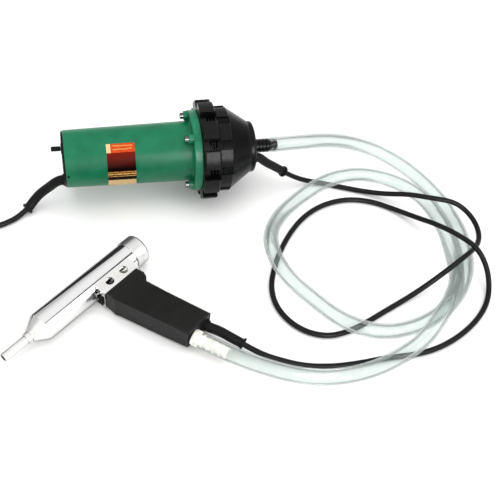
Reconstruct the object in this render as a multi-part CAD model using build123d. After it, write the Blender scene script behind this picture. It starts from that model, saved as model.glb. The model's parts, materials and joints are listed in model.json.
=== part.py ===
from build123d import *
import math
import os

# Split hot-air plastic welder: an electric blower, an air hose and power cable, and a hot-air gun.
# Millimetres. +Z is up and the bench is Z = 0. +X runs along the blower to its outlet.
# The origin is on the bench, under the middle of the box around the blower and the gun.

# ---------------------------------------------------------------- where the two halves lie
BENCH_SHIFT = (1.05, 6.71)   # from the layout's own zero to the row's origin
BLOWER_X = -111.8            # rear face of the blower's rear plate
BLOWER_Y = 110.7             # blower axis
LUG_RADIUS = 68.0
LUG_PITCH = 36.0
LUG_COUNT = 10
LUG_PHASE = 4.0              # angle of the first lug about the axis, 0 towards +Y, 90 up
AXIS_Z = LUG_RADIUS * math.cos(math.radians(3.0))    # the lowest lug's edge is 3 degrees off bottom
GUN_X = -198.3               # middle of the nozzle's tip
GUN_Y = -156.4
GUN_Z = 20.3                 # gun axis: the gun lies on the rim of its rear cap
GUN_TURN = 39.5              # from +X to the line from nozzle to rear cap

# ---------------------------------------------------------------- blower, along its axis from the rear
PLATE_T = 3.0
TUBE_R_REAR, TUBE_R_FRONT, TUBE_BORE = 38.5, 40.9, 35.5
FLANGE_BACK, FLANGE_FRONT, FLANGE_R = 171.0, 182.0, 55.0
SCREW_CIRCLE = 48.5
SCREW_ANGLES = (57.0, 116.0, 205.0, 276.0, 346.0)
DRUM_R, DRUM_FRONT, DRUM_BORE = 54.4, 206.0, 45.6
PORT_X0, PORT_X1, PORT_WIDTH = 192.0, 202.5, 12.0
RING_CLEARANCE = 0.08
RING_R, RING_X0, RING_X1 = 59.0, 182.15, 203.85
LUG_WIDTH = 22.0
COVER_X, CONE_X, COVER_END = 204.0, 222.0, 252.0
COVER_R, COVER_END_R, COVER_WALL = 57.0, 36.0, 2.5
CAP_R, CAP_FRONT = 35.5, 259.0
NIPPLE_END, NIPPLE_R, NIPPLE_BARB_R, NIPPLE_BORE = 295.0, 7.5, 8.4, 6.0
NIPPLE_COLLARS, NIPPLE_BARBS, HOSE_START = (264.0, 269.0, 274.0, 279.0), (285.0, 290.0), 284.0
SHAFT_R, SHAFT_X0, SHAFT_X1 = 4.0, 34.0, 243.0
FIT = 0.02                   # gap between pieces that are pressed together
RUNNING = 0.05               # radial gap of a running fit
REAR_BEARING_X, FRONT_BEARING_X, BEARING_W, BEARING_R = 36.0, 173.0, 7.0, 11.0
STATOR_X0, STATOR_X1, STATOR_R, YOKE_R, POLE_R = 84.0, 130.0, 35.3, 28.0, 20.6
ARMATURE_X0, ARMATURE_X1, ARMATURE_R, SLOT_COUNT = 86.0, 128.0, 20.0, 12
COMMUTATOR_X0, COMMUTATOR_X1, COMMUTATOR_R, BAR_COUNT = 50.0, 66.0, 12.0, 24
SWITCH_Z = 20.0              # toggle switch above the blower's axis
LEVER_PIVOT = 4.0
MAINS_BOOT = [(0, -20.5, -18.5), (-18.5, -19.5, -29), (-32.7, -19, -42.5), (-44.5, -23, -54.2), (-54, -31, -60.1)]
CABLE_BOOT = [(259, -20, -1.5), (274, -20, -10.2), (289.3, -19.5, -22.9), (306.5, -19.5, -36.6)]
MAINS_WAY = (-0.75, -0.61, -0.25)    # the way each cable leaves its boot
CABLE_WAY = (0.782, 0.0, -0.623)
BOOT_PLUG_R = 6.5            # part of each boot that sits in its wall

# ---------------------------------------------------------------- gun, along its axis from the nozzle
NOZZLE_R, NOZZLE_SHANK_R, NOZZLE_BORE, NOZZLE_END = 5.5, 5.2, 4.0, 43.0
NUT_X0, CONE_TIP, CONE_BASE, NUT_R = 34.0, 40.0, 58.0, 7.3
HEATER_R, HEATER_BORE, HEATER_END = 19.0, 18.2, 212.0
CAP_START, CAP_END, REAR_CAP_R = 205.0, 226.6, 20.3
CORE_X0, CORE_X1, CORE_R, CORE_HOLES, CORE_HOLE_CIRCLE = 72.0, 132.0, 16.3, 8, 10.5
BRACKET_X0, BRACKET_X1, BRACKET_Z, SHEET = 136.0, 195.0, 16.4, 1.2
BRACKET_BOTTOM = -29.0
BRACKET_HOLES = (154.0, 178.0)
BRACKET_SCREWS = (165.5, 187.0)
HANDLE_HALF = 18.5
HANDLE_WALL = 3.0
RAKE = 12.5                  # handle, off square to the tube
FITTING_AT = (173.0, -143.05)    # hose fitting at the handle's end
GUN_BOOT = [(195.3, -142.52, 0), (199.2, -157, -0.4), (204.3, -176, -2.4), (209.2, -194.5, -5.4)]
GUN_WAY = (0.24, -0.95, -0.18)
AIR_TUBE_R = 6.0                     # air tube inside the handle

# ---------------------------------------------------------------- cords
HOSE_D, CABLE_D = 21.0, 7.4
COIL_MIDDLE = (-262.0, 2.0)
COIL_INNER_R, COIL_OUTER_R, COIL_H = 32.4, 54.8, 15.0

# Each route starts and ends at its fittings; these are the points on the bench between them.
HOSE_ROUTE = [
    (212, 112.5, 67), (268, 126, 55), (322, 131, 35), (371, 115, 17),
    (405, 75, 10.5), (425, 22, 10.5), (430, -38, 10.5), (418, -94, 10.5), (384, -141, 10.5),
    (333, -170, 10.5), (284, -182, 16), (244.5, -179, 23), (212, -157, 23), (189, -119, 16),
    (165, -84, 16), (150.5, -48, 22), (153, -11, 21), (176, 27, 14), (214, 57, 14),
    (256, 77, 23), (301, 85, 23), (342, 82, 15), (374, 66, 11), (396, 39.5, 10.5), (406, 5, 10.5),
    (409, -34, 10.5), (402, -84, 11.5), (387, -122, 25), (366, -151, 37), (342, -176, 36),
    (316, -200, 25), (283, -217, 21), (244, -228, 13), (204, -232, 10.5), (162, -229, 12),
    (121, -217, 17),
]
CABLE_ROUTE = [
    (229, 91.5, 9), (253, 89, 3.9), (284, 77, 3.7),
    (313, 66, 3.7), (342, 51, 11), (368, 34, 27), (397, 19, 32), (428, 9, 32),
    (447, -6, 24), (455, -28, 18), (450, -51, 17), (433, -70, 23), (404, -91, 33),
    (374, -107, 29), (345, -117, 12), (316, -128, 3.7), (284, -142, 3.7), (256, -155, 3.7),
    (228, -166, 3.7), (199, -170, 3.7), (172, -160, 3.7), (152, -140, 3.7), (141, -114, 3.7),
    (141, -86, 3.7), (151, -58, 3.7), (166, -29, 3.7), (187, 1, 3.7), (213, 28, 3.7),
    (246, 47, 3.7), (284, 54, 3.7), (320, 46, 3.7), (350, 27, 4), (373, -1, 15),
    (390, -30, 32), (410, -57, 39), (429, -79, 37), (440, -103, 21), (438, -130, 5),
    (422, -155, 3.7), (397, -177, 3.7), (366, -195, 3.7), (333, -207, 3.7), (300, -211, 3.7),
    (266, -210, 3.7), (230, -213, 3.7), (192, -213, 3.7), (157, -207, 3.9), (129, -197, 7),
]
MAINS_ROUTE = [(-196, 60.5, 3.7), (-214, 55.5, 3.7), (-236, 53.4, 3.7), (-262, 52.8, 3.7)]
TAIL_ROUTE = [
    (-313.0, 2.0, 11.2), (-313.3, -18, 11.1), (-312.8, -38, 11), (-311.5, -56, 11), (-310.5, -72, 11),
]
PLUG_X, PLUG_Y, PLUG_Z = -310.5, -72.0, 11.0

NODES = {}


def keep(name, shape):
    """File a finished piece under its node name, as one solid or a group of separate solids."""
    solids = (Pos(*BENCH_SHIFT, 0) * shape).solids()
    NODES[name] = solids[0] if len(solids) == 1 else Compound(children=solids)


def blower_point(x, y, z):
    return Vector(BLOWER_X + x, BLOWER_Y + y, AXIS_Z + z)


def gun_point(x, y, z=0.0):
    return Vector(GUN_X, GUN_Y, GUN_Z) + Vector(x, y, z).rotate(Axis.Z, GUN_TURN)


def on_blower(shape):
    return Pos(BLOWER_X, BLOWER_Y, AXIS_Z) * shape


def on_gun(shape):
    return Pos(GUN_X, GUN_Y, GUN_Z) * Rot(0, 0, GUN_TURN) * shape


# ---------------------------------------------------------------- shapes about the X axis
def turned(*outline):
    """Solid turned about X from (x, radius) points."""
    return revolve(make_face(Polyline(*outline, close=True)), Axis.X)


def ring(x0, x1, outer, inner=0.0):
    return turned((x0, inner), (x0, outer), (x1, outer), (x1, inner))


def polar(radius, angle):
    return radius * math.cos(math.radians(angle)), radius * math.sin(math.radians(angle))


def sector(x0, x1, inner, outer, middle, width):
    """Block of a ring between two radii, centred on an angle about X."""
    low, high = middle - width / 2, middle + width / 2
    outline = [
        Line(polar(inner, low), polar(outer, low)),
        ThreePointArc(polar(outer, low), polar(outer, middle), polar(outer, high)),
        Line(polar(outer, high), polar(inner, high)),
        ThreePointArc(polar(inner, high), polar(inner, middle), polar(inner, low)),
    ]
    return extrude(Plane.YZ.offset(x0) * make_face(outline), x1 - x0)


def rod(x0, x1, radius, y=0.0, z=0.0):
    """Cylinder parallel to X."""
    return Pos(x0, y, z) * Rot(0, 90, 0) * Cylinder(
        radius, x1 - x0, align=(Align.CENTER, Align.CENTER, Align.MIN))


def block(x0, x1, y0, y1, z0, z1):
    return Pos(x0, y0, z0) * Box(x1 - x0, y1 - y0, z1 - z0, align=(Align.MIN, Align.MIN, Align.MIN))


def hexagon(x0, x1, across_flats):
    return extrude(Plane.YZ.offset(x0) * RegularPolygon(across_flats / 2, 6, major_radius=False), x1 - x0)


def copies(count, shape, start=0.0):
    """The same shape repeated about X."""
    return [Rot(start + i * 360 / count, 0, 0) * shape for i in range(count)]


# ---------------------------------------------------------------- cords and boots
def corner_radii(points):
    radii = []
    for before, corner, after in zip(points, points[1:], points[2:]):
        arriving, leaving = corner - before, after - corner
        turn = math.radians(arriving.get_angle(leaving))
        radii.append(0.45 * min(arriving.length, leaving.length) / math.tan(turn / 2))
    return radii


def cord(name, points, diameter):
    """Plain round cord along a route, with the largest bend each corner has room for."""
    points = [Vector(*p) for p in points]
    radii = corner_radii(points)
    path = FilletPolyline(*points, radius=radii)
    tube = sweep(Plane(path @ 0, z_dir=path % 0) * Circle(diameter / 2), path=path)
    straight = math.pi * diameter ** 2 / 4 * path.length
    print(f"{name}: length {path.length:.0f}, volume/(section x length) {tube.volume / straight:.4f}")
    print("   radii", " ".join(f"{r:.0f}" for r in radii))
    return tube


def boot(points, first_way, last_way, root_r, tip_r, plug_length):
    """Tapered rubber boot: a plug in the wall, a collar outside it, and a collar at the free end."""
    path = Spline(*points, tangents=[first_way, last_way])
    stations = [i / 8 for i in range(9)]
    body = loft([Plane(path @ t, z_dir=path % t) * Circle(root_r + (tip_r - root_r) * t) for t in stations])
    start = Plane(path @ 0, z_dir=path % 0)
    end = Plane(path @ 1, z_dir=path % 1)
    collar = start * Cylinder(8.2, 2.2, align=(Align.CENTER, Align.CENTER, Align.MIN))
    plug = start * Cylinder(BOOT_PLUG_R, plug_length, align=(Align.CENTER, Align.CENTER, Align.MAX))
    rim = end * Cylinder(8.0, 3.0, align=(Align.CENTER, Align.CENTER, Align.MAX))
    return body + fillet(rim.edges(), 0.6) + collar + plug


def beyond(points, way, distance):
    """The end of a boot, then a point straight on from it."""
    end = Vector(*points[-1])
    return [end + Vector(*way).normalized() * d for d in (0.02, distance)]


# ---------------------------------------------------------------- blower shell
def motor_housing():
    shell = turned(
        (PLATE_T, TUBE_BORE), (PLATE_T, TUBE_R_REAR - 0.6), (PLATE_T + 0.6, TUBE_R_REAR),
        (FLANGE_BACK - 2, TUBE_R_FRONT), (FLANGE_BACK - 0.6, TUBE_R_FRONT + 0.6),
        (FLANGE_BACK, TUBE_R_FRONT + 2), (FLANGE_BACK, FLANGE_R - 1), (FLANGE_BACK + 1, FLANGE_R),
        (FLANGE_FRONT - 0.8, FLANGE_R), (FLANGE_FRONT, FLANGE_R - 0.8), (FLANGE_FRONT, TUBE_BORE))
    for angle in SCREW_ANGLES:
        y, z = polar(SCREW_CIRCLE, angle)
        shell += rod(165.0, FLANGE_BACK + 1, 6.4, y, z)
        shell += sector(166.5, FLANGE_BACK + 1, TUBE_R_FRONT - 1, SCREW_CIRCLE, angle, 9)
    for angle in SCREW_ANGLES:
        y, z = polar(SCREW_CIRCLE, angle)
        shell -= rod(160.0, FLANGE_FRONT + 1, 2.6, y, z)
    for hole in copies(3, block(4.4, 7.6, 30.0, 42.0, -1.6, 1.6), 52.5):
        shell -= hole
    return shell


def rear_plate():
    plate = turned(
        (0, 0), (0, 36.7), (0.8, 37.5), (PLATE_T, 37.5), (PLATE_T, 35.4), (9, 35.4), (9, 31.5),
        (PLATE_T, 31.5), (PLATE_T, 0))
    plate -= rod(-1, 4, 4.5, 0, SWITCH_Z)
    plate -= rod(-1, 10, BOOT_PLUG_R + FIT, *MAINS_BOOT[0][1:])
    for hole in copies(3, block(4.4, 7.6, 30.0, 42.0, -1.6, 1.6), 52.5):
        plate -= hole
    return plate


def rear_plate_screws():
    """Three grub screws that pass through the housing into the plate's rim."""
    screw = Pos(6, 31.8, 0) * Rot(-90, 0, 0) * Cylinder(
        1.55, 6.6, align=(Align.CENTER, Align.CENTER, Align.MIN))
    screw -= block(5.6, 6.4, 37.4, 39.5, -1.3, 1.3)
    return Compound(children=copies(3, screw, 52.5))


def rating_label():
    """Thin plate bent round the near side of the housing."""
    taper = (TUBE_R_FRONT - TUBE_R_REAR) / (FLANGE_BACK - 2 - PLATE_T - 0.6)

    def radius(x):
        return TUBE_R_REAR + taper * (x - PLATE_T - 0.6) + 0.03

    x0, x1 = 57.0, 94.0
    band = turned((x0, radius(x0)), (x0, radius(x0) + 0.5), (x1, radius(x1) + 0.5), (x1, radius(x1)))
    return band & sector(x0 - 1, x1 + 1, 30, 50, 175.75, 128.5)


def flange_screws():
    screws = []
    for angle in SCREW_ANGLES:
        y, z = polar(SCREW_CIRCLE, angle)
        screw = rod(160.0, 165.0, 4.25, y, z) + rod(165.0, 189.0, 2.4, y, z)
        screws.append(screw - Pos(0, y, z) * hexagon(159.5, 162.4, 4.0))
    return Compound(children=screws)


def port_angles():
    return [LUG_PHASE + LUG_PITCH * (i + 0.5) for i in range(LUG_COUNT)]


def fan_base():
    """Drum behind the first impeller, with ten intake ports under the air ring."""
    drum = turned(
        (FLANGE_FRONT, 16), (FLANGE_FRONT, DRUM_R), (DRUM_FRONT, DRUM_R), (DRUM_FRONT, 51.0), (191, 51.0),
        (191, DRUM_BORE), (185, DRUM_BORE), (185, 16))
    ports = [sector(PORT_X0, PORT_X1, 48, 58, angle, PORT_WIDTH) for angle in port_angles()]
    holes = [rod(181, 190, 2.4 + FIT, *polar(SCREW_CIRCLE, angle)) for angle in SCREW_ANGLES]
    return drum - ports - holes


def air_ring():
    """Castellated ring turned by hand to open or shut the ports. Each window keeps two thin ribs."""
    body = turned(
        (RING_X0, DRUM_R + RING_CLEARANCE), (RING_X0, RING_R - 0.8), (RING_X0 + 0.8, RING_R),
        (RING_X1 - 0.8, RING_R), (RING_X1, RING_R - 0.8), (RING_X1, DRUM_R + RING_CLEARANCE))
    lug = sector(RING_X0 + 0.6, RING_X1 - 0.6, RING_R - 1, LUG_RADIUS, 0, LUG_WIDTH)
    lug = chamfer(lug.faces().sort_by(Axis.Y)[-1].edges(), 1.2)
    body += [Rot(LUG_PHASE + LUG_PITCH * i, 0, 0) * lug for i in range(LUG_COUNT)]
    for x in (190.4, 194.5, 198.6):
        body -= [sector(x, x + 3.2, 50, 62, angle, PORT_WIDTH) for angle in port_angles()]
    return body


def fan_cover():
    slope = (COVER_R - COVER_END_R) / (COVER_END - CONE_X)
    inner = COVER_WALL * math.hypot(1, slope)
    grooves = []
    for x in (207.0, 211.0, 215.0, 219.0):
        grooves += [(x, COVER_R), (x, COVER_R - 1.0), (x + 2.0, COVER_R - 1.0), (x + 2.0, COVER_R)]
    cover = turned(
        (COVER_X, 54.5), (COVER_X, COVER_R - 0.6), (COVER_X + 0.6, COVER_R), *grooves, (CONE_X, COVER_R),
        (COVER_END, COVER_END_R), (COVER_END, COVER_END_R - inner), (CONE_X + 1, COVER_R - slope - inner),
        (CONE_X + 1, 52.0), (220, 52.0), (220, 54.5))
    pad = sector(COVER_X + 0.8, CONE_X - 0.4, 55.5, COVER_R + 1.6, 0, 24.0)
    pad = chamfer(pad.faces().sort_by(Axis.Y)[-1].edges(), 0.7)
    return cover + [Rot(LUG_PHASE + LUG_PITCH * i, 0, 0) * pad for i in range(LUG_COUNT)]


def nose_cap():
    cap = turned(
        (248, 30), (248, 32.5), (COVER_END, 32.5), (COVER_END, CAP_R), (256, CAP_R), (258, 34.7),
        (CAP_FRONT, 33), (CAP_FRONT, NIPPLE_R + FIT), (254, NIPPLE_R + FIT), (254, 30))
    return cap - rod(250, 260, BOOT_PLUG_R + FIT, *CABLE_BOOT[0][1:])


def hose_nipple():
    """Collars grip the fingers outside the hose, barbs grip the hose inside it."""
    outline = [(250, NIPPLE_BORE), (250, 11), (254, 11), (254, NIPPLE_R)]
    for x in NIPPLE_COLLARS:
        outline += [(x, NIPPLE_R), (x, 9.6), (x + 3.0, 9.6), (x + 3.0, NIPPLE_R)]
    for x in NIPPLE_BARBS:
        outline += [(x, NIPPLE_R), (x + 0.01, NIPPLE_BARB_R), (x + 4.0, NIPPLE_R)]
    return turned(*outline, (NIPPLE_END, 7.0), (NIPPLE_END, NIPPLE_BORE))


# ---------------------------------------------------------------- switch
def switch_body():
    body = block(PLATE_T, 26, -7, 7, SWITCH_Z - 7, SWITCH_Z + 7) + rod(0, PLATE_T + 1, 4.45, 0, SWITCH_Z)
    return body - rod(-5, 10, 2.6, 0, SWITCH_Z)


def switch_bezel():
    bezel = turned((-0.9, 5.2), (-0.9, 6.6), (-0.4, 7.2), (0, 7.2), (0, 5.2))
    return Pos(0, 0, SWITCH_Z) * bezel


def toggle_lever():
    return Pos(LEVER_PIVOT, 0, SWITCH_Z) * Sphere(2.55) + rod(-11, 7.6, 1.5, 0, SWITCH_Z)


def toggle_sleeve():
    sleeve = fillet(rod(-13.6, -1.3, 3.3, 0, SWITCH_Z).edges(), 0.7)
    return sleeve - rod(-11 - FIT, 0, 1.5 + FIT, 0, SWITCH_Z)


# ---------------------------------------------------------------- motor
def carrier(x0, x1, bearing_x):
    """Spider that holds one bearing in the housing's bore."""
    plate = turned(
        (x0, 7), (x0, TUBE_BORE - FIT), (x1, TUBE_BORE - FIT), (x1, BEARING_R + FIT),
        (bearing_x, BEARING_R + FIT), (bearing_x, 7))
    return plate - copies(6, rod(x0 - 1, x1 + 1, 5.5, 24.0, 0.0))


def bearing(x0):
    return ring(x0, x0 + BEARING_W, BEARING_R, SHAFT_R + RUNNING)


def brush_plate():
    plate = ring(48, 51, TUBE_BORE - FIT, 14.5)
    box = block(50, 64, -5.2, 5.2, 13.6, 32) - block(52.4, 61.6, -3.6, 3.6, 10, 40)
    return plate + copies(2, box)


def brushes():
    return Compound(children=copies(2, block(52.5, 61.5, -3.5, 3.5, COMMUTATOR_R + 0.06, 28)))


def commutator():
    body = ring(COMMUTATOR_X0, COMMUTATOR_X1, COMMUTATOR_R, SHAFT_R + FIT)
    return body - copies(BAR_COUNT, block(COMMUTATOR_X0 - 1, COMMUTATOR_X1 - 2, 10.5, 13, -0.3, 0.3))


def armature_core():
    body = ring(ARMATURE_X0, ARMATURE_X1, ARMATURE_R, SHAFT_R + FIT)
    return body - copies(SLOT_COUNT, block(ARMATURE_X0 - 1, ARMATURE_X1 + 1, 10, 21, -2.2, 2.2))


def armature_windings():
    ends = ring(74, ARMATURE_X0 - FIT, 18, 7) + ring(ARMATURE_X1 + FIT, 140, 18, 7)
    return ends + copies(SLOT_COUNT, block(80, 134, 10 + FIT, 17.5, -2.15, 2.15))


def stator_core():
    core = ring(STATOR_X0, STATOR_X1, STATOR_R, YOKE_R)
    core += copies(2, sector(STATOR_X0, STATOR_X1, 23, YOKE_R + 0.5, 0, 50))
    return core + copies(2, sector(STATOR_X0, STATOR_X1, POLE_R, 24, 0, 110))


def field_windings():
    saddle = sector(76, 138, 24.1, 27.8, 0, 108) - sector(STATOR_X0 - 0.1, STATOR_X1 + 0.1, 20, 30, 0, 52)
    return Compound(children=copies(2, saddle))


def impeller(x0, x1, radius, eye, blade_count):
    """Closed radial impeller: hub, back plate, front shroud and swept blades."""
    wheel = ring(x0, x1, 10, SHAFT_R + FIT) + ring(x1 - 1.6, x1, radius, 9) + ring(x0, x0 + 1.0, radius, eye)
    arc = ThreePointArc(polar(eye - 2, 0), polar((eye + radius) / 2, 22), polar(radius - 0.5, 58))
    blade = extrude(Plane.YZ.offset(x0 + 0.5) * trace(arc, 1.2), x1 - x0 - 1.5)
    return wheel + copies(blade_count, blade)


def inlet_plate():
    return ring(DRUM_FRONT, DRUM_FRONT + 1.5, 54.4, 17)


def diffuser_plate():
    plate = ring(218.2, 220, 54.4, 12)
    slots = [sector(217, 221, 40, 51, i * 30, 14) for i in range(12)]
    return plate - slots


# ---------------------------------------------------------------- gun
def nozzle():
    return turned(
        (0, NOZZLE_BORE), (0, NOZZLE_R - 0.4), (0.4, NOZZLE_R), (NUT_X0 - 0.6, NOZZLE_R),
        (NUT_X0 - 0.6, NOZZLE_SHANK_R), (NOZZLE_END, NOZZLE_SHANK_R),
        (NOZZLE_END, NOZZLE_BORE))


def nozzle_nut():
    nut = turned(
        (NUT_X0, NOZZLE_SHANK_R + FIT), (NUT_X0, NUT_R - 0.8), (NUT_X0 + 0.8, NUT_R), (CONE_TIP, NUT_R),
        (CONE_TIP, NOZZLE_SHANK_R + FIT))
    return nut - copies(2, block(NUT_X0 - 1, CONE_TIP + 1, NUT_R - 0.7, NUT_R + 1, -8, 8))


def heater_cone():
    return turned(
        (CONE_TIP, NOZZLE_SHANK_R + FIT), (CONE_TIP, 7.9), (CONE_TIP + 1, 8.6), (CONE_BASE - 0.6, HEATER_R - 0.1),
        (CONE_BASE, HEATER_R), (CONE_BASE, HEATER_BORE - FIT), (CONE_BASE + 8, HEATER_BORE - FIT),
        (CONE_BASE + 8, HEATER_BORE - 1), (CONE_BASE, HEATER_BORE - 1), (NOZZLE_END, 7),
        (NOZZLE_END, NOZZLE_SHANK_R + FIT))


def fitting_line(distance):
    """Point on the handle's air passage, measured outwards from the hose fitting's seat."""
    rake = math.radians(RAKE)
    return (FITTING_AT[0] + distance * math.sin(rake), FITTING_AT[1] - distance * math.cos(rake), 0.0)


def along_fitting(distance, radius, length):
    """Cylinder on the handle's air passage."""
    axis = Vector(*fitting_line(1)) - Vector(*fitting_line(0))
    return Plane(fitting_line(distance), z_dir=axis) * Cylinder(
        radius, length, align=(Align.CENTER, Align.CENTER, Align.MIN))


def heater_tube():
    tube = ring(CONE_BASE, HEATER_END, HEATER_R, HEATER_BORE)
    return tube - along_fitting(-136, AIR_TUBE_R + FIT, 30)


def rear_cap():
    cap = turned(
        (CAP_START, HEATER_R + FIT), (CAP_START, REAR_CAP_R - 0.6), (CAP_START + 0.6, REAR_CAP_R),
        (CAP_END, REAR_CAP_R), (CAP_END, 0), (223.5, 0), (223.5, 16), (HEATER_END + FIT, 16),
        (HEATER_END + FIT, HEATER_R + FIT))
    return fillet(cap.edges().group_by(Axis.X)[-1], 4.5)


def heater_core():
    core = ring(CORE_X0, CORE_X1, CORE_R, 0)
    return core - copies(CORE_HOLES, rod(CORE_X0 - 1, CORE_X1 + 1, 2.4, CORE_HOLE_CIRCLE, 0))


def heating_wires():
    """Coiled elements in the core's bores, drawn as plain round bars."""
    return Compound(children=copies(CORE_HOLES, rod(CORE_X0 - 2, CORE_X1 + 2, 1.8, CORE_HOLE_CIRCLE, 0)))


def mica_sleeve():
    return ring(CORE_X0 - 2, CORE_X1 + 2, HEATER_BORE - FIT, CORE_R + FIT)


def rear_insulator():
    return ring(196, 201, HEATER_BORE - FIT, 0) - [rod(190, 210, 1.25, y, 4) for y in (-6, 6)]


def wire_leads():
    return Compound(children=[rod(CORE_X1 + 3, 206, 1.2, y, 4) for y in (-6, 6)])


def bracket():
    """Channel between the heater tube and the handle, with two holes through both sides."""
    sides = block(BRACKET_X0, BRACKET_X1, BRACKET_BOTTOM, -8.5, -BRACKET_Z, BRACKET_Z)
    inside = BRACKET_Z - SHEET
    sides -= block(BRACKET_X0 - 1, BRACKET_X1 + 1, BRACKET_BOTTOM + SHEET, 0, -inside, inside)
    sides -= rod(BRACKET_X0 - 1, BRACKET_X1 + 1, HEATER_R + FIT)
    for x in BRACKET_HOLES:
        sides -= Pos(x, -19.3, 0) * Cylinder(5.8, 60)
    for x in BRACKET_SCREWS:
        sides -= Pos(x, -28, 0) * Rot(90, 0, 0) * Cylinder(2.1, 10)
    return sides - along_fitting(-136, AIR_TUBE_R + FIT, 60)


def bracket_screws():
    screws = []
    for x in BRACKET_SCREWS:
        head = Pos(x, BRACKET_BOTTOM + SHEET, 0) * Rot(-90, 0, 0) * Cylinder(
            3.6, 2.2, align=(Align.CENTER, Align.CENTER, Align.MIN))
        shank = Pos(x, BRACKET_BOTTOM + SHEET, 0) * Rot(90, 0, 0) * Cylinder(
            2.0, 8.0, align=(Align.CENTER, Align.CENTER, Align.MIN))
        screws.append(head + shank)
    return Compound(children=screws)


HANDLE_OUTLINE = [
    (139.0, -29.03), (190.5, -29.03), (193.0, -40.0), (190.5, -47.0), (185.5, -52.0), (191.5, -84.0),
    (202.0, -133.0), (204.0, -142.5), (163.3, -142.5), (140.8, -52.0), (138.0, -44.0),
]
RIDGE = ((141.0, -53.0), (168.3, -142.5))     # where the grip's sloped front meets its flat side
RIDGE_SLOPE = 37.5
HANDLE_SCREWS = [(178.0, -43.0), (182.5, -79.0), (189.0, -113.0)]


def beyond_ridge(depth):
    """Everything in front of the grip's sloped front, which lies this deep inside the shell."""
    (x0, y0), (x1, y1) = RIDGE
    along = Plane(origin=(x0, y0, HANDLE_HALF), x_dir=(x1 - x0, y1 - y0, 0), z_dir=(0, 0, 1))
    space = Pos(0, 0, -depth) * Box(400, 60, 60, align=(Align.CENTER, Align.CENTER, Align.MIN))
    return along * Rot(RIDGE_SLOPE, 0, 0) * space


def handle_half():
    """Upper shell of the handle, parting face on the gun's middle plane."""
    profile = make_face(Polyline(*HANDLE_OUTLINE, close=True))
    outer = extrude(profile, HANDLE_HALF)
    outer = chamfer(outer.edges().filter_by(Plane.XY).group_by(Axis.Z)[-1], 2.2)
    hollow = extrude(offset(profile, -HANDLE_WALL), HANDLE_HALF - HANDLE_WALL) - beyond_ridge(HANDLE_WALL)
    half = outer - beyond_ridge(0) - hollow
    half += [Pos(x, y, 0) * Cylinder(4.0, HANDLE_HALF - 1, align=(Align.CENTER, Align.CENTER, Align.MIN))
             for x, y in HANDLE_SCREWS]
    half -= [Pos(x, y, 0) * Cylinder(1.6, 24) for x, y in HANDLE_SCREWS]
    half -= along_fitting(-136, AIR_TUBE_R + FIT, 140) + along_fitting(0, 10.42, 10)
    half -= Plane(GUN_BOOT[0], z_dir=(0, 1, 0)) * Cylinder(BOOT_PLUG_R + FIT, 14)
    half -= [Pos(x, -30, 0) * Rot(90, 0, 0) * Cylinder(2.0 + FIT, 16) for x in BRACKET_SCREWS]
    return half


def handle_screws():
    screws = []
    for x, y in HANDLE_SCREWS:
        shank = Pos(x, y, -HANDLE_HALF + 2.6) * Cylinder(
            1.55, 25, align=(Align.CENTER, Align.CENTER, Align.MIN))
        head = Pos(x, y, -HANDLE_HALF + 0.6) * Cylinder(
            3.0, 2.0, align=(Align.CENTER, Align.CENTER, Align.MIN))
        screws.append(head + shank)
    return Compound(children=screws)


def cable_clamp():
    return block(188.4, 197.0, -133, -127, -12, 12) - Pos(193.0, -130, 0) * Rot(90, 0, 0) * Cylinder(3.8, 10)


def air_tube():
    tube = along_fitting(-130, AIR_TUBE_R, 128) - along_fitting(-140, AIR_TUBE_R - 1.2, 160)
    return tube - rod(100, 200, HEATER_BORE - 1)


def hose_fitting():
    """White collar at the handle's end, with a barbed spout inside the hose."""
    body = fillet(along_fitting(0.02, 10.4, 9.5).edges(), 0.8) + along_fitting(9, 7.4, 39)
    for distance in (13.0, 21.0, 29.0, 37.0):
        body += along_fitting(distance, 8.3, 2.4)
    return body - along_fitting(-1, 5.6, 60)


# ---------------------------------------------------------------- mains coil and plug
def mains_coil():
    """Outer shape of the wound cable: three turns wide and two high."""
    x, y = COIL_MIDDLE
    low = (Align.CENTER, Align.CENTER, Align.MIN)
    coil = Cylinder(COIL_OUTER_R, COIL_H, align=low) - Cylinder(COIL_INNER_R, COIL_H, align=low)
    return Pos(x, y, 0) * fillet(coil.edges(), 3.0)


def coil_tie():
    x, y = COIL_MIDDLE
    strap = block(COIL_INNER_R - 1.6, COIL_OUTER_R + 1.2, -4.5, 4.5, 0, COIL_H + 1.2)
    strap -= block(COIL_INNER_R - 0.5, COIL_OUTER_R + 0.2, -5, 5, -1, COIL_H + 0.1)
    return Pos(x, y, 0) * Rot(0, 0, 35) * strap


def plug_body():
    """Moulded plug lying on its side, its pins away from the cable."""
    back = (Align.CENTER, Align.CENTER, Align.MIN)
    place = Plane((PLUG_X, PLUG_Y, PLUG_Z), x_dir=(1, 0, 0), z_dir=(0, -1, 0))
    relief = place * Cone(5.2, 7.0, 24, align=back)
    block_shape = place.offset(22) * Box(36, 22, 30, align=back)
    body = fillet(block_shape.edges(), 2.5)
    return relief + body


def plug_pins():
    place = Plane((PLUG_X, PLUG_Y, PLUG_Z), x_dir=(1, 0, 0), z_dir=(0, -1, 0)).offset(52)
    up = (Align.CENTER, Align.CENTER, Align.MIN)
    pins = [place * Pos(x, -3, 0) * Rot(0, 0, turn) * Box(1.6, 6.4, 17, align=up)
            for x, turn in ((-7.5, 30), (7.5, -30))]
    pins.append(place * Pos(0, 4.5, 0) * Box(6.4, 1.6, 19, align=up))
    return Compound(children=pins)


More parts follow.
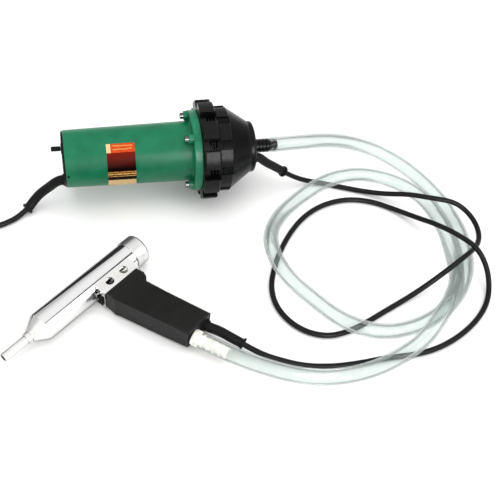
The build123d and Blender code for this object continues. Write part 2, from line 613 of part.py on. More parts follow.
# ---------------------------------------------------------------- everything in its place
def build_blower():
    keep("motor_housing", on_blower(motor_housing()))
    keep("rear_plate", on_blower(rear_plate()))
    keep("rear_plate_screws", on_blower(rear_plate_screws()))
    keep("rating_label", on_blower(rating_label()))
    keep("flange_screws", on_blower(flange_screws()))
    keep("fan_base", on_blower(fan_base()))
    keep("air_ring", on_blower(air_ring()))
    keep("fan_cover", on_blower(fan_cover()))
    keep("nose_cap", on_blower(nose_cap()))
    keep("hose_nipple", on_blower(hose_nipple()))
    keep("switch_body", on_blower(switch_body()))
    keep("switch_bezel", on_blower(switch_bezel()))
    keep("toggle_lever", on_blower(toggle_lever()))
    keep("toggle_sleeve", on_blower(toggle_sleeve()))
    keep("mains_boot", on_blower(boot(MAINS_BOOT, (-1, 0, 0), MAINS_WAY, 6.5, 6.3, 3.0)))
    keep("outlet_boot", on_blower(boot(CABLE_BOOT, (1, 0, 0), CABLE_WAY, 6.4, 6.0, 5.0)))


def build_motor():
    keep("rear_carrier", on_blower(carrier(33, 45, REAR_BEARING_X)))
    keep("front_carrier", on_blower(carrier(170, 181.9, FRONT_BEARING_X)))
    keep("rear_bearing", on_blower(bearing(REAR_BEARING_X)))
    keep("front_bearing", on_blower(bearing(FRONT_BEARING_X)))
    keep("brush_plate", on_blower(brush_plate()))
    keep("brushes", on_blower(brushes()))
    keep("stator_core", on_blower(stator_core()))
    keep("field_windings", on_blower(field_windings()))
    keep("inlet_plate", on_blower(inlet_plate()))
    keep("diffuser_plate", on_blower(diffuser_plate()))
    keep("terminal_block", on_blower(block(PLATE_T, 24, -4, 18, -24, -12)))
    keep("shaft", on_blower(rod(SHAFT_X0, SHAFT_X1, SHAFT_R)))
    keep("commutator", on_blower(commutator()))
    keep("armature_core", on_blower(armature_core()))
    keep("armature_windings", on_blower(armature_windings()))
    keep("impeller_1", on_blower(impeller(208.2, 217.4, 50, 17, 9)))
    keep("impeller_2", on_blower(impeller(221.6, 235, 38, 16, 9)))
    keep("shaft_nut", on_blower(hexagon(235.1, 240, 13) - rod(230, 245, SHAFT_R + FIT)))


def build_gun():
    keep("nozzle", on_gun(nozzle()))
    keep("nozzle_nut", on_gun(nozzle_nut()))
    keep("heater_cone", on_gun(heater_cone()))
    keep("heater_tube", on_gun(heater_tube()))
    keep("rear_cap", on_gun(rear_cap()))
    keep("heater_core", on_gun(heater_core()))
    keep("heating_wires", on_gun(heating_wires()))
    keep("mica_sleeve", on_gun(mica_sleeve()))
    keep("rear_insulator", on_gun(rear_insulator()))
    keep("wire_leads", on_gun(wire_leads()))
    keep("handle_bracket", on_gun(bracket()))
    keep("bracket_screws", on_gun(bracket_screws()))
    upper = handle_half()
    lower = mirror(upper, Plane.XY)
    sinks = [Pos(x, y, -HANDLE_HALF) * Cylinder(3.0 + FIT, 5.2) for x, y in HANDLE_SCREWS]
    sinks += [Pos(x, y, 0) * Cylinder(1.6, 40) for x, y in HANDLE_SCREWS]
    keep("handle_upper", on_gun(upper))
    keep("handle_lower", on_gun(lower - sinks))
    keep("handle_screws", on_gun(handle_screws()))
    keep("cable_clamp", on_gun(cable_clamp()))
    keep("air_tube", on_gun(air_tube()))
    keep("hose_fitting", on_gun(hose_fitting()))
    keep("gun_boot", on_gun(boot(GUN_BOOT, (0, -1, 0), GUN_WAY, 6.5, 6.1, 3.4)))


def build_cords():
    hose_start = [blower_point(HOSE_START, 0, 0)]
    hose_end = [gun_point(*fitting_line(d)) for d in (54.0, 9.6)]
    keep("air_hose", cord("air_hose", hose_start + HOSE_ROUTE + hose_end, HOSE_D))
    leave = [blower_point(*p) for p in beyond(CABLE_BOOT, CABLE_WAY, 16)]
    arrive = [gun_point(*p) for p in reversed(beyond(GUN_BOOT, GUN_WAY, 22))]
    keep("gun_cable", cord("gun_cable", leave + CABLE_ROUTE + arrive, CABLE_D))
    leave = [blower_point(*p) for p in beyond(MAINS_BOOT, MAINS_WAY, 16)]
    supply = cord("mains_cable", leave + MAINS_ROUTE, CABLE_D)
    keep("mains_cable", Compound(children=[supply, cord("mains_cable tail", TAIL_ROUTE, CABLE_D)]))
    keep("mains_coil", mains_coil())
    keep("coil_tie", coil_tie())
    keep("plug_body", plug_body())
    keep("plug_pins", plug_pins())


os.makedirs("parts", exist_ok=True)
build_blower()
build_motor()
build_gun()
build_cords()
for node, shape in NODES.items():
    export_step(shape, f"parts/{node}.step")
loose = ("air_hose", "gun_cable", "mains_cable", "mains_coil", "coil_tie", "plug_body", "plug_pins")
box = Compound(children=[shape for node, shape in NODES.items() if node not in loose]).bounding_box()
print(len(NODES), "nodes, box without cords", box.min, box.max)
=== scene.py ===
import json
import math

import bmesh
import bpy
from mathutils import Matrix, Vector


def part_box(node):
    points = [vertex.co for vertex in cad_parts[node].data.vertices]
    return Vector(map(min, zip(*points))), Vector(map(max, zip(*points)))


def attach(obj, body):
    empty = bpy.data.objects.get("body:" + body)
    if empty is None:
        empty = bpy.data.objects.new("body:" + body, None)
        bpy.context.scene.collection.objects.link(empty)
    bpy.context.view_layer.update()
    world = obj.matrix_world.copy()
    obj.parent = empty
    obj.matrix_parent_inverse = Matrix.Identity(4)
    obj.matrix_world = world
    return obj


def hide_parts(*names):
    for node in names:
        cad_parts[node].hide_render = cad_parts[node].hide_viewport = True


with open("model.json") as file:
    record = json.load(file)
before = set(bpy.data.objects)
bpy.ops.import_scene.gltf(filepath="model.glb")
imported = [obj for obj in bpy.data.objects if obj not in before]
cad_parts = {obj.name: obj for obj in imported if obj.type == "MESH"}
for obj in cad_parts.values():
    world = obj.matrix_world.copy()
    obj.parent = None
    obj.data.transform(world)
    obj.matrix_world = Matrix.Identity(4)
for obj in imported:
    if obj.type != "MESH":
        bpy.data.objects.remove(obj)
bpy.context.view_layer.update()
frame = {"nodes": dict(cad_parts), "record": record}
MM = 0.001
TAU = 2 * math.pi

# ------------------------------------------------------------------ places, taken from the frame
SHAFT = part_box("shaft")
AXIS_Y = (SHAFT[0].y + SHAFT[1].y) / 2
AXIS_Z = (SHAFT[0].z + SHAFT[1].z) / 2
REAR_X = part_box("rear_plate")[0].x
TIP = next(m for m in frame["record"]["mounts"] if m["name"] == "nozzle_outside")
GUN_BACK = -Vector(TIP["axis"]).normalized()
GUN_ORIGIN = Vector(TIP["pos_m"]) - GUN_BACK * 0.0169
BLOWER = Matrix.Translation((REAR_X, AXIS_Y, AXIS_Z))
GUN = Matrix.Translation(GUN_ORIGIN) @ Matrix(
    (GUN_BACK, Vector((0, 0, 1)).cross(GUN_BACK), (0, 0, 1))).transposed().to_4x4()
BENCH = Vector((1.05, 6.71, 0)) * MM      # the cords' routes are written from the layout's own zero


def on_blower(x, y, z):
    return BLOWER @ (Vector((x, y, z)) * MM)


def on_gun(x, y, z=0.0):
    return GUN @ (Vector((x, y, z)) * MM)


def on_bench(points):
    return [Vector(p) * MM + BENCH for p in points]


# ------------------------------------------------------------------ camera
def make_camera():
    """A long lens, looking down on the set from the front left, with the horizon rolled a little."""
    azimuth, elevation, roll = (math.radians(v) for v in (-18.8, 52.0, 9.6))
    right = Vector((math.cos(azimuth), math.sin(azimuth), 0))
    back = Vector((math.sin(azimuth) * math.cos(elevation), -math.cos(azimuth) * math.cos(elevation),
                   math.sin(elevation)))
    up = back.cross(right)
    rolled_right = right * math.cos(roll) + up * math.sin(roll)
    rolled_up = up * math.cos(roll) - right * math.sin(roll)
    camera = bpy.data.objects.new("camera", bpy.data.cameras.new("camera"))
    bpy.context.scene.collection.objects.link(camera)
    camera.data.sensor_width = 36.0
    camera.data.lens = 57.6
    camera.data.clip_start = 0.05
    turn = Matrix((rolled_right, rolled_up, back)).transposed().to_4x4()
    camera.matrix_world = Matrix.Translation((REAR_X + 0.021, AXIS_Y - 0.768, 0.863)) @ turn
    bpy.context.scene.camera = camera


# ------------------------------------------------------------------ node helpers
class Look:
    """A material under construction: a Principled shader and the few node patterns used here."""

    def __init__(self, name, color, rough, metal=0.0, **inputs):
        self.mat = bpy.data.materials.new(name)
        self.mat.use_nodes = True
        self.tree = self.mat.node_tree
        self.nodes = self.tree.nodes
        self.shader = self.nodes["Principled BSDF"]
        self.set(self.shader, "Base Color", (*color, 1))
        self.set(self.shader, "Roughness", rough)
        self.set(self.shader, "Metallic", metal)
        for key, value in inputs.items():
            self.set(self.shader, key.replace("_", " "), value)
        self.height = None

    def set(self, node, socket, value):
        node.inputs[socket].default_value = value

    def link(self, a, b):
        self.tree.links.new(a, b)

    def node(self, kind, **settings):
        made = self.nodes.new(kind)
        for key, value in settings.items():
            setattr(made, key, value)
        return made

    def coordinates(self, stretch=(1, 1, 1), turn=0.0):
        where = self.node("ShaderNodeTexCoord")
        mapping = self.node("ShaderNodeMapping")
        self.set(mapping, "Scale", stretch)
        self.set(mapping, "Rotation", (0, 0, turn))
        self.link(where.outputs["Object"], mapping.inputs["Vector"])
        return mapping.outputs["Vector"]

    def noise(self, scale, detail=3.0, rough=0.55, stretch=(1, 1, 1), turn=0.0):
        made = self.node("ShaderNodeTexNoise")
        self.set(made, "Scale", scale)
        self.set(made, "Detail", detail)
        self.set(made, "Roughness", rough)
        self.link(self.coordinates(stretch, turn), made.inputs["Vector"])
        return made.outputs["Fac"]

    def remap(self, value, low, high, to_low, to_high):
        made = self.node("ShaderNodeMapRange")
        for socket, number in zip(("From Min", "From Max", "To Min", "To Max"), (low, high, to_low, to_high)):
            self.set(made, socket, number)
        self.link(value, made.inputs["Value"])
        return made.outputs["Result"]

    def mix(self, factor, first, second):
        made = self.node("ShaderNodeMix", data_type="RGBA")
        for socket, value in (("Factor", factor), ("A", first), ("B", second)):
            target = [s for s in made.inputs if s.name == socket and s.enabled][0]
            if isinstance(value, (tuple, float)):
                target.default_value = value
            else:
                self.link(value, target)
        return [s for s in made.outputs if s.enabled][0]

    def math(self, operation, first, second=0.0):
        made = self.node("ShaderNodeMath", operation=operation)
        for socket, value in zip(made.inputs, (first, second)):
            if isinstance(value, (int, float)):
                socket.default_value = value
            else:
                self.link(value, socket)
        return made.outputs[0]

    def vary_color(self, value, low_color, high_color, low=0.35, high=0.65):
        self.link(self.mix(self.remap(value, low, high, 0, 1), (*low_color, 1), (*high_color, 1)),
                  self.shader.inputs["Base Color"])

    def vary_rough(self, value, low, high):
        self.link(self.remap(value, 0.3, 0.7, low, high), self.shader.inputs["Roughness"])

    def bump(self, value, strength, distance):
        made = self.node("ShaderNodeBump")
        self.set(made, "Strength", strength)
        self.set(made, "Distance", distance)
        self.link(value, made.inputs["Height"])
        if self.height is not None:
            self.link(self.height, made.inputs["Normal"])
        self.height = made.outputs["Normal"]
        self.link(self.height, self.shader.inputs["Normal"])

    def wear_and_edge_highlight(self, color, amount=0.5):
        """Paler, polished edges where hands and tools rub, which also serve as a painted highlight along sharp
        edges.
        """
        geometry = self.node("ShaderNodeNewGeometry")
        # painted highlight and wear: sharp convex edges are lightened towards the given colour, in rubbed patches
        edge = self.remap(geometry.outputs["Pointiness"], 0.52, 0.60, 0.0, amount)
        rub = self.remap(self.noise(900, 4), 0.35, 0.65, 0.0, 1.0)
        old = self.shader.inputs["Base Color"]
        base = old.links[0].from_socket if old.links else tuple(old.default_value)
        self.link(self.mix(self.math("MULTIPLY", edge, rub), base, (*color, 1)), old)


def enamel():
    look = Look("green_enamel", (0.0025, 0.130, 0.058), 0.34, Specular_IOR_Level=0.20, Coat_Weight=0.04,
                Coat_Roughness=0.10)
    look.vary_color(look.noise(45, 4), (0.0018, 0.112, 0.049), (0.0032, 0.142, 0.064))
    look.vary_rough(look.noise(120, 4), 0.28, 0.42)
    look.bump(look.noise(260, 3), 0.10, 0.0004)
    look.bump(look.noise(1400, 2), 0.05, 0.0002)
    # pale green edge colour: wear and a painted edge highlight
    look.wear_and_edge_highlight((0.06, 0.36, 0.22), 0.4)
    return look.mat


def moulded(name, color, rough, grain=1600, strength=0.12, worn_and_highlit=(0.05, 0.05, 0.05), shine=0.3):
    look = Look(name, color, rough, Specular_IOR_Level=shine)
    look.vary_color(look.noise(90, 4), tuple(c * 0.8 for c in color), tuple(c * 1.35 for c in color))
    look.vary_rough(look.noise(220, 4), rough * 0.85, min(1.0, rough * 1.2))
    look.bump(look.noise(grain, 2), strength, 0.0002)
    # paler edge colour: wear and a painted edge highlight
    look.wear_and_edge_highlight(worn_and_highlit, 0.35)
    return look.mat


def metal(name, color, rough, stretch=(1, 1, 1), turn=0.0, scratches=0.08, stain=None, edge=1.0):
    look = Look(name, color, rough, 1.0, Specular_Tint=(edge, edge, edge, 1))
    streaks = look.noise(700, 4, 0.6, stretch, turn)
    look.vary_rough(streaks, rough * 0.7, rough * 1.5)
    look.bump(streaks, scratches, 0.0001)
    if stain:
        look.vary_color(look.noise(60, 4), color, stain, 0.45, 0.75)
    return look.mat


def ceramic(name, color):
    look = Look(name, color, 0.6)
    look.vary_color(look.noise(150, 4), tuple(c * 0.9 for c in color), color)
    look.bump(look.noise(900, 3), 0.15, 0.0002)
    return look.mat


def copper():
    look = Look("enamelled_copper", (0.45, 0.16, 0.06), 0.3, 0.85)
    wave = look.node("ShaderNodeTexWave", wave_type="BANDS", bands_direction="X")
    look.set(wave, "Scale", 260.0)
    look.set(wave, "Distortion", 0.6)
    look.link(look.coordinates(), wave.inputs["Vector"])
    look.bump(wave.outputs["Fac"], 0.6, 0.0004)
    look.vary_color(look.noise(200, 3), (0.38, 0.12, 0.045), (0.55, 0.22, 0.09))
    return look.mat


def clear_pvc():
    """Clear soft tube: nearly clear face on, tinted mint where its wall is seen edge on, and glossy."""
    look = Look("clear_pvc", (0.8, 0.92, 0.88), 0.08)
    nodes, link = look.nodes, look.link
    facing = look.node("ShaderNodeLayerWeight")
    look.set(facing, "Blend", 0.35)
    ramp = look.node("ShaderNodeValToRGB")
    ramp.color_ramp.elements[0].color = (0.918, 0.941, 0.933, 1)
    ramp.color_ramp.elements[1].color = (0.84, 0.90, 0.88, 1)
    for place, color in ((0.45, (0.914, 0.938, 0.930, 1)), (0.72, (0.905, 0.934, 0.925, 1))):
        ramp.color_ramp.elements.new(place).color = color
    link(facing.outputs["Facing"], ramp.inputs["Fac"])
    through = look.node("ShaderNodeBsdfTransparent")
    link(ramp.outputs["Color"], through.inputs["Color"])
    haze = look.node("ShaderNodeBsdfTranslucent")
    look.set(haze, "Color", (0.88, 0.97, 0.93, 1))
    milky = look.node("ShaderNodeMixShader")
    link(look.remap(look.noise(70, 3), 0.3, 0.7, 0.02, 0.06), milky.inputs["Fac"])
    link(through.outputs[0], milky.inputs[1])
    link(haze.outputs[0], milky.inputs[2])
    gloss = look.node("ShaderNodeBsdfGlossy")
    look.set(gloss, "Roughness", 0.07)
    shine = look.node("ShaderNodeFresnel")
    look.set(shine, "IOR", 1.45)
    coat = look.node("ShaderNodeMixShader")
    link(look.math("MULTIPLY", shine.outputs[0], 0.6), coat.inputs["Fac"])
    link(milky.outputs[0], coat.inputs[1])
    link(gloss.outputs[0], coat.inputs[2])
    ripple = look.node("ShaderNodeBump")
    look.set(ripple, "Strength", 0.35)
    look.set(ripple, "Distance", 0.0010)
    link(look.noise(48, 2), ripple.inputs["Height"])
    link(ripple.outputs[0], gloss.inputs["Normal"])
    link(coat.outputs[0], nodes["Material Output"].inputs["Surface"])
    nodes.remove(look.shader)
    return look.mat


def band(look, value, low, high):
    """1 where a value lies between two limits."""
    return look.math("MULTIPLY", look.math("GREATER_THAN", value, low), look.math("LESS_THAN", value, high))


def label_foil():
    """Printed foil: plain colour bands round the housing, with speckled tones, faint scroll rings on the top band,
    and no marks.
    """
    look = Look("label_foil", (0.30, 0.03, 0.02), 0.24, 0.0, Specular_IOR_Level=0.06)
    where = look.node("ShaderNodeTexCoord")
    split = look.node("ShaderNodeSeparateXYZ")
    look.link(where.outputs["Object"], split.inputs[0])
    y = look.math("SUBTRACT", split.outputs[1], AXIS_Y)
    z = look.math("SUBTRACT", split.outputs[2], AXIS_Z)
    angle = look.math("MULTIPLY", look.math("ARCTAN2", z, look.math("MULTIPLY", y, -1.0)), 180 / math.pi)
    along = look.math("SUBTRACT", split.outputs[0], REAR_X)
    fade = look.remap(angle, 20.0, 54.0, 0.0, 1.0)
    color = look.mix(fade, (0.005, 0.0015, 0.001, 1), (0.17, 0.007, 0.001, 1))
    speckle = look.remap(look.noise(420, 5, 0.7), 0.42, 0.60, 0, 1)
    bands = [
        (51.0, 88.0, (0.42, 0.026, 0.006), (0.56, 0.085, 0.015)),
        (11.0, 13.5, (0.50, 0.26, 0.07), (0.25, 0.08, 0.02)),
        (6.0, 9.5, (0.62, 0.36, 0.12), (0.35, 0.12, 0.03)),
        (1.5, 3.5, (0.60, 0.36, 0.12), (0.22, 0.06, 0.02)),
        (-8.0, 0.0, (0.006, 0.005, 0.005), (0.022, 0.012, 0.008)),
        (-44.0, -8.0, (0.50, 0.33, 0.14), (0.66, 0.47, 0.24)),
        (-80.0, -44.0, (0.28, 0.035, 0.012), (0.42, 0.10, 0.03)),
    ]
    for low, high, first, second in bands:
        tone = look.mix(speckle, (*first, 1), (*second, 1))
        color = look.mix(band(look, angle, low, high), color, tone)
    rings = look.node("ShaderNodeTexWave", wave_type="RINGS", rings_direction="X")
    for socket, value in (("Scale", 62.0), ("Distortion", 3.5), ("Detail", 2.0)):
        look.set(rings, socket, value)
    look.link(look.coordinates(), rings.inputs["Vector"])
    scrolls = look.remap(rings.outputs["Fac"], 0.70, 0.86, 0.0, 0.75)
    top = look.math("MULTIPLY", band(look, angle, 53.0, 80.0), band(look, along, 0.0655, 0.0905))
    color = look.mix(look.math("MULTIPLY", top, scrolls), color, (0.55, 0.30, 0.08, 1))
    corner = look.math("MULTIPLY", band(look, angle, 51.0, 84.0), look.math("LESS_THAN", along, 0.0625))
    color = look.mix(corner, color, (0.62, 0.46, 0.24, 1))
    look.link(color, look.shader.inputs["Base Color"])
    look.bump(look.noise(800, 3), 0.08, 0.0002)
    return look.mat


def floor_look():
    look = Look("pale_floor", (0.86, 0.86, 0.855), 0.75)
    look.vary_color(look.noise(4, 4), (0.85, 0.85, 0.845), (0.87, 0.87, 0.865))
    look.bump(look.noise(300, 3), 0.03, 0.0003)
    return look.mat


LOOKS = {
    "green_paint": enamel(),
    "black_plastic": moulded("black_moulding", (0.0012, 0.0012, 0.0017), 0.24, 1600, 0.06, shine=0.09),
    "black_gloss_plastic": moulded("handle_moulding", (0.0042, 0.0040, 0.0036), 0.42, 1100, 0.16, shine=0.11),
    "black_rubber": moulded("moulded_rubber", (0.0035, 0.0035, 0.0036), 0.48, 900, 0.2, shine=0.15),
    "black_cable": moulded("cable_jacket", (0.0035, 0.0035, 0.0042), 0.36, 700, 0.08, shine=0.16),
    "brown_plastic": moulded("laminate_board", (0.16, 0.07, 0.03), 0.5, worn_and_highlit=(0.3, 0.16, 0.08), shine=0.5),
    "white_plastic": moulded("white_moulding", (0.80, 0.78, 0.72), 0.4, worn_and_highlit=(0.9, 0.88, 0.84), shine=0.5),
    "black_oxide": metal("darkened_screws", (0.14, 0.15, 0.15), 0.16, stain=(0.08, 0.08, 0.075)),
    "zinc_steel": metal("zinc_plate", (0.60, 0.59, 0.55), 0.32, stain=(0.52, 0.46, 0.34)),
    "bearing_steel": metal("ground_steel", (0.56, 0.57, 0.58), 0.22),
    "core_steel": metal("stacked_sheets", (0.20, 0.20, 0.22), 0.42, (60, 1, 1), scratches=0.5),
    "stainless": metal("stainless", (0.84, 0.84, 0.83), 0.15, stain=(0.76, 0.74, 0.70), edge=0.25),
    "polished_chrome": metal("polished_chrome", (0.78, 0.785, 0.78), 0.08, scratches=0.02, edge=0.25),
    "cast_aluminium": metal("cast_aluminium", (0.55, 0.56, 0.57), 0.4, scratches=0.3),
    "label_foil": label_foil(),
    "copper_wire": copper(),
    "brass": metal("brass", (0.72, 0.50, 0.20), 0.25, stain=(0.62, 0.40, 0.16)),
    "carbon": moulded("carbon", (0.02, 0.02, 0.021), 0.7),
    "white_ceramic": ceramic("ceramic", (0.82, 0.79, 0.72)),
    "clear_hose": clear_pvc(),
}


OWN_LOOKS = {
    "rear_cap": metal("satin_cap", (0.80, 0.80, 0.79), 0.34, scratches=0.12, stain=(0.70, 0.70, 0.69), edge=0.3),
    "rear_plate_screws": LOOKS["black_oxide"],
}


def dress_nodes():
    slots = {s["node"]: s["material_slot"] for s in frame["record"]["subparts"]}
    for name, node in frame["nodes"].items():
        node.data.materials.clear()
        node.data.materials.append(OWN_LOOKS.get(name, LOOKS[slots[name]]))


# ------------------------------------------------------------------ curves and tubes
def nurbs(name, points):
    """Open smooth spline with the route's points as its control points."""
    data = bpy.data.curves.new(name, "CURVE")
    data.dimensions = "3D"
    spline = data.splines.new("NURBS")
    spline.points.add(len(points) - 1)
    for slot, p in zip(spline.points, points):
        slot.co = (*p, 1)
    spline.order_u = 3
    spline.use_endpoint_u = True
    spline.resolution_u = 10
    item = bpy.data.objects.new(name, data)
    bpy.context.scene.collection.objects.link(item)
    return item


def line_of(points):
    """Points along that spline, to build a mesh along it."""
    item = nurbs("line_of", points)
    bpy.context.view_layer.update()
    mesh = bpy.data.meshes.new_from_object(item)
    line = [v.co.copy() for v in mesh.vertices]
    bpy.data.meshes.remove(mesh)
    bpy.data.objects.remove(item)
    return line


def round_cord(name, points, diameter, material):
    item = nurbs(name, points)
    item.data.bevel_depth = diameter / 2
    item.data.bevel_resolution = 6
    item.data.use_fill_caps = True
    item.data.materials.append(material)
    return item


def new_mesh(name, bm, material, smooth=True, sharp=35.0):
    mesh = bpy.data.meshes.new(name)
    bmesh.ops.recalc_face_normals(bm, faces=bm.faces)
    bm.to_mesh(mesh)
    bm.free()
    for polygon in mesh.polygons:
        polygon.use_smooth = smooth
    if smooth:
        mesh.set_sharp_from_angle(angle=math.radians(sharp))
    mesh.materials.append(material)
    item = bpy.data.objects.new(name, mesh)
    bpy.context.scene.collection.objects.link(item)
    return item


def frames_along(line):
    """A steady pair of cross directions at each point of a line."""
    ways = []
    for i in range(len(line)):
        ahead, behind = line[min(i + 1, len(line) - 1)], line[max(i - 1, 0)]
        ways.append((ahead - behind).normalized())
    side = ways[0].cross(Vector((0.1, 0.2, 1))).normalized()
    frames = []
    for way in ways:
        side = (side - way * side.dot(way)).normalized()
        frames.append((side, way.cross(side)))
    return frames


def tube_mesh(name, line, outer, inner, material, around=40):
    """Hollow tube with a wall, open at both ends. outer and inner are radii, or functions of the share along."""
    frames = frames_along(line)
    bm = bmesh.new()
    shells = []
    for radius in (outer, inner):
        rings = []
        for i, (p, (u, v)) in enumerate(zip(line, frames)):
            r = radius(i / (len(line) - 1)) if callable(radius) else radius
            rings.append([bm.verts.new(p + (u * math.cos(TAU * k / around) + v * math.sin(TAU * k / around)) * r)
                          for k in range(around)])
        shells.append(rings)
    for rings in shells:
        for a, b in zip(rings, rings[1:]):
            for k in range(around):
                bm.faces.new((a[k], a[(k + 1) % around], b[(k + 1) % around], b[k]))
    for end in (0, -1):
        a, b = shells[0][end], shells[1][end]
        for k in range(around):
            bm.faces.new((a[k], a[(k + 1) % around], b[(k + 1) % around], b[k]))
    return new_mesh(name, bm, material)


# ------------------------------------------------------------------ hose and cables
HOSE_ROUTE = [
    (212, 112.5, 67), (268, 126, 55), (322, 131, 35), (371, 115, 17),
    (405, 75, 10.5), (425, 22, 10.5), (430, -38, 10.5), (418, -94, 10.5), (384, -141, 10.5),
    (333, -170, 10.5), (284, -182, 16), (244.5, -179, 23), (212, -157, 23), (189, -119, 16),
    (165, -84, 16), (150.5, -48, 22), (153, -11, 21), (176, 27, 14), (214, 57, 14),
    (256, 77, 23), (301, 85, 23), (342, 82, 15), (374, 66, 11), (396, 39.5, 10.5), (406, 5, 10.5),
    (409, -34, 10.5), (402, -84, 11.5), (387, -122, 25), (366, -151, 37), (342, -176, 36),
    (316, -200, 25), (283, -217, 21), (244, -228, 13), (204, -232, 10.5), (162, -229, 12),
    (121, -217, 17),
]
CABLE_ROUTE = [
    (229, 91.5, 9), (253, 89, 3.9), (284, 77, 3.7),
    (313, 66, 3.7), (342, 51, 11), (368, 34, 27), (397, 19, 32), (428, 9, 32),
    (447, -6, 24), (455, -28, 18), (450, -51, 17), (433, -70, 23), (404, -91, 33),
    (374, -107, 29), (345, -117, 12), (316, -128, 3.7), (284, -142, 3.7), (256, -155, 3.7),
    (228, -166, 3.7), (199, -170, 3.7), (172, -160, 3.7), (152, -140, 3.7), (141, -114, 3.7),
    (141, -86, 3.7), (151, -58, 3.7), (166, -29, 3.7), (187, 1, 3.7), (213, 28, 3.7),
    (246, 47, 3.7), (284, 54, 3.7), (320, 46, 3.7), (350, 27, 4), (373, -1, 15),
    (390, -30, 32), (410, -57, 39), (429, -79, 37), (440, -103, 21), (438, -130, 5),
    (422, -155, 3.7), (397, -177, 3.7), (366, -195, 3.7), (333, -207, 3.7), (300, -211, 3.7),
    (266, -210, 3.7), (230, -213, 3.7), (192, -213, 3.7), (157, -207, 3.9), (129, -197, 7),
]
MAINS_ROUTE = [(-196, 60.5, 3.7), (-214, 55.5, 3.7), (-236, 53.4, 3.7)]
TAIL_ROUTE = [(-313.3, -18, 11.1), (-312.8, -38, 11), (-311.5, -56, 11), (-310.5, -72, 11)]
HOSE_D, CABLE_D = 0.021, 0.0074
MAINS_BOOT_END, MAINS_WAY = (-54, -31, -60.1), (-0.75, -0.61, -0.25)
CABLE_BOOT_END, CABLE_WAY = (306.5, -19.5, -36.6), (0.782, 0.0, -0.623)
GUN_BOOT_END, GUN_WAY = (209.2, -194.5, -5.4), (0.24, -0.95, -0.18)
RAKE = math.radians(12.5)


def beyond(place, end, way, distance):
    """The end of a boot, then a point straight on from it."""
    way = Vector(way).normalized()
    return [place(*(Vector(end) + way * d)) for d in (0.02, distance)]


def fitting_point(distance):
    return on_gun(173.0 + distance * math.sin(RAKE), -143.05 - distance * math.cos(RAKE))


def coil_points(middle, z_low, z_high):
    """Three turns inwards on the floor, then back out on top of them. Each change of turn takes a sixth of one."""
    radii = [51.0, 43.6, 36.2, 36.2, 43.6, 51.0]
    heights = [z_low] * 3 + [z_high] * 3
    changes = [0.0, 360.0, 720.0, 1080.0, 1380.0, 1740.0]      # where each turn's own radius begins
    points = []
    for step in range(1, 79):
        angle = step * 24.0
        turn = max(i for i, begin in enumerate(changes) if angle >= begin)
        after = min(turn + 1, 5)
        share = 0.0
        if after > turn:
            share = min(1.0, max(0.0, (angle - changes[after] + 60.0) / 60.0))
        radius = (radii[turn] * (1 - share) + radii[after] * share) / math.cos(math.radians(10))
        height = heights[turn] * (1 - share) + heights[after] * share
        way = math.radians(90 + angle)
        points.append((middle[0] + radius * math.cos(way), middle[1] + radius * math.sin(way), height))
    return points


def make_cords():
    hose_points = ([on_blower(284, 0, 0)] + on_bench(HOSE_ROUTE)
                   + [fitting_point(54.0), fitting_point(9.6)])
    line = line_of(hose_points)
    hose = tube_mesh("air_hose_tube", line, HOSE_D / 2, HOSE_D / 2 - 0.0022, LOOKS["clear_hose"])
    hose.visible_shadow = False
    hose.visible_diffuse = False
    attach(hose, "set")
    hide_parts("air_hose")

    cable_points = (beyond(on_blower, CABLE_BOOT_END, CABLE_WAY, 16) + on_bench(CABLE_ROUTE)
                    + beyond(on_gun, GUN_BOOT_END, GUN_WAY, 22)[::-1])
    cable = round_cord("gun_power_cable", cable_points, CABLE_D, LOOKS["black_cable"])
    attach(cable, "set")
    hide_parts("gun_cable")

    mains_points = (beyond(on_blower, MAINS_BOOT_END, MAINS_WAY, 16) + on_bench(MAINS_ROUTE)
                    + on_bench(coil_points((-262, 2), 3.75, 11.2)) + on_bench(TAIL_ROUTE))
    mains = round_cord("mains_lead", mains_points, CABLE_D, LOOKS["black_cable"])
    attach(mains, "set")
    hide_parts("mains_cable", "mains_coil")


# ------------------------------------------------------------------ floor and light
WALLS = [(0.10, 0.62), (0.45, 0.66), (0.70, 0.95), (0.80, 1.05), (0.89, 1.1)]


def black_card(name, corners):
    """A card that only shows in reflections, and draws a dark line along the polished tube."""
    bm = bmesh.new()
    bm.faces.new([bm.verts.new(corner) for corner in corners])
    card = new_mesh(name, bm, Look(name, (0.012, 0.012, 0.012), 0.9).mat)
    for ray in ("camera", "diffuse", "transmission", "shadow"):
        setattr(card, "visible_" + ray, False)


def make_stage():
    bm = bmesh.new()
    bmesh.ops.create_grid(bm, x_segments=8, y_segments=8, size=12.0)
    floor = new_mesh("floor", bm, floor_look())
    floor.location = (0.1, 0, -0.0002)
    black_card("low_card", [on_gun(x, 60, z) for x, z in ((45, -6), (290, -6), (290, 75), (45, 9))])
    black_card("high_card", [on_gun(x, y, 914) for x, y in ((330, -380), (760, -300), (760, -560), (330, -450))])


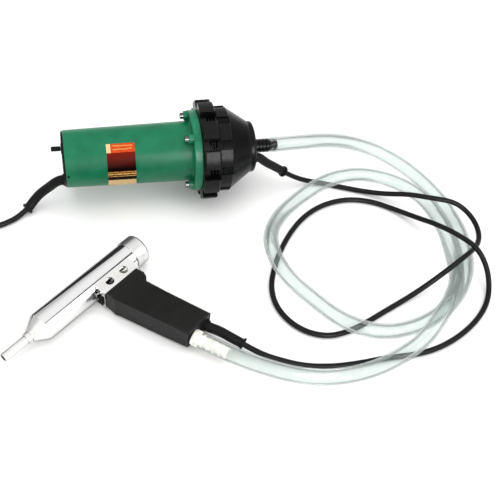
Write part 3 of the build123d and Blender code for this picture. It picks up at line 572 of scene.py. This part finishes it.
def area_light(name, place, target, size, power, glossy=True, diffuse=True):
    data = bpy.data.lights.new(name, "AREA")
    data.shape = "RECTANGLE"
    data.size, data.size_y = size
    data.energy = power
    item = bpy.data.objects.new(name, data)
    item.visible_glossy = glossy
    item.visible_diffuse = diffuse
    item.location = place
    item.rotation_mode = "QUATERNION"
    item.rotation_quaternion = (Vector(place) - Vector(target)).to_track_quat("Z", "Y")
    bpy.context.scene.collection.objects.link(item)


def make_lights():
    world = bpy.data.worlds.new("studio")
    bpy.context.scene.world = world
    world.use_nodes = True
    tree = world.node_tree
    sky = tree.nodes["Background"]
    where = tree.nodes.new("ShaderNodeTexCoord")
    split = tree.nodes.new("ShaderNodeSeparateXYZ")
    tree.links.new(where.outputs["Generated"], split.inputs[0])
    walls = tree.nodes.new("ShaderNodeValToRGB")        # the studio's own walls and ceiling, by height
    ramp = walls.color_ramp
    ramp.elements[0].position, ramp.elements[0].color = 0.0, (0.62, 0.62, 0.62, 1)
    ramp.elements[1].position, ramp.elements[1].color = 1.0, (1.15, 1.15, 1.15, 1)
    for height, grey in WALLS:
        ramp.elements.new(height).color = (grey, grey, grey, 1)
    tree.links.new(split.outputs[2], walls.inputs["Fac"])
    front = tree.nodes.new("ShaderNodeMapRange")        # the side the camera stands on is open and bright
    for socket, value in (("From Min", -0.05), ("From Max", -0.30), ("To Min", 0.0), ("To Max", 1.0)):
        front.inputs[socket].default_value = value
    tree.links.new(split.outputs[1], front.inputs["Value"])
    both = tree.nodes.new("ShaderNodeMix")
    both.data_type = "RGBA"
    both.inputs[7].default_value = (1.25, 1.25, 1.25, 1)
    tree.links.new(front.outputs["Result"], both.inputs[0])
    tree.links.new(walls.outputs["Color"], both.inputs[6])
    tree.links.new(both.outputs[2], sky.inputs["Color"])
    sky.inputs["Strength"].default_value = 1.0
    area_light("key", (0.1, 0.3, 2.3), (0.1, 0, 0), (2.6, 2.0), 30, glossy=False)
    area_light("fill", (1.3, -0.9, 1.4), (0.1, 0, 0), (0.9, 0.9), 6)
    area_light("catch", (0.42, -1.30, 0.80), (0.05, 0.1, 0.07), (0.34, 0.75), 16, diffuse=False)
    bpy.context.scene.view_settings.view_transform = "Standard"


make_camera()
dress_nodes()
make_cords()
make_stage()
make_lights()
